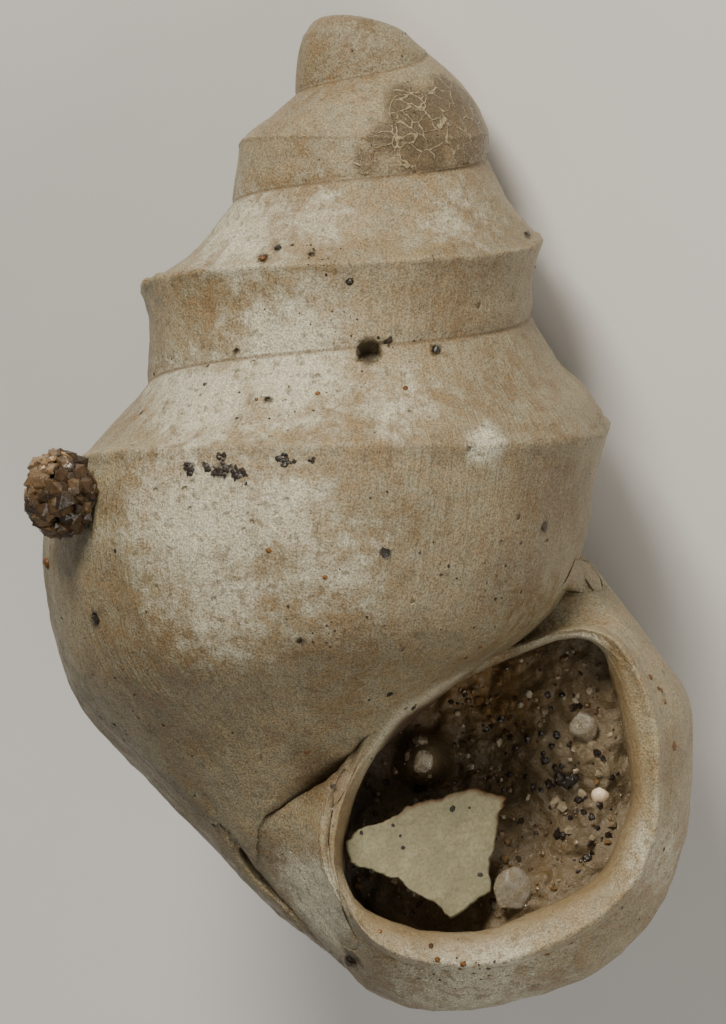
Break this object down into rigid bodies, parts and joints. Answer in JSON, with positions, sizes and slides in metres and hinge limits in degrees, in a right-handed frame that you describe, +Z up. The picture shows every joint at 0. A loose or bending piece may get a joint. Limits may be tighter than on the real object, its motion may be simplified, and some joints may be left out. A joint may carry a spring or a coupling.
{
  "type": "powellisetia unicarinata shell",
  "caption": "Tiny weathered keeled sea snail shell on its back, mouth up, with sediment and grit lodged inside.",
  "frame": {"origin": "centre of the object's box, close to where the coiling axis meets the body whorl", "axes": "+Z up with the shell lying on its back, mouth upwards; +Y towards the tip; +X towards the outer lip"},
  "size_m": [0.0008, 0.0012, 0.0006],
  "materials": {
    "shell": "satin",
    "sediment": "rough",
    "chip": "matte",
    "amber_grain": "satin",
    "clear_grain": "satin",
    "bead": "satin"
  },
  "bodies": {
    "root": {"shell": "shell", "sediment": "sediment", "chip": "chip", "stuck_grain": "amber_grain", "translucent_grain": "clear_grain", "clear_grain": "clear_grain", "small_clear_grain": "clear_grain", "bead": "bead"}
  },
  "joints": []
}
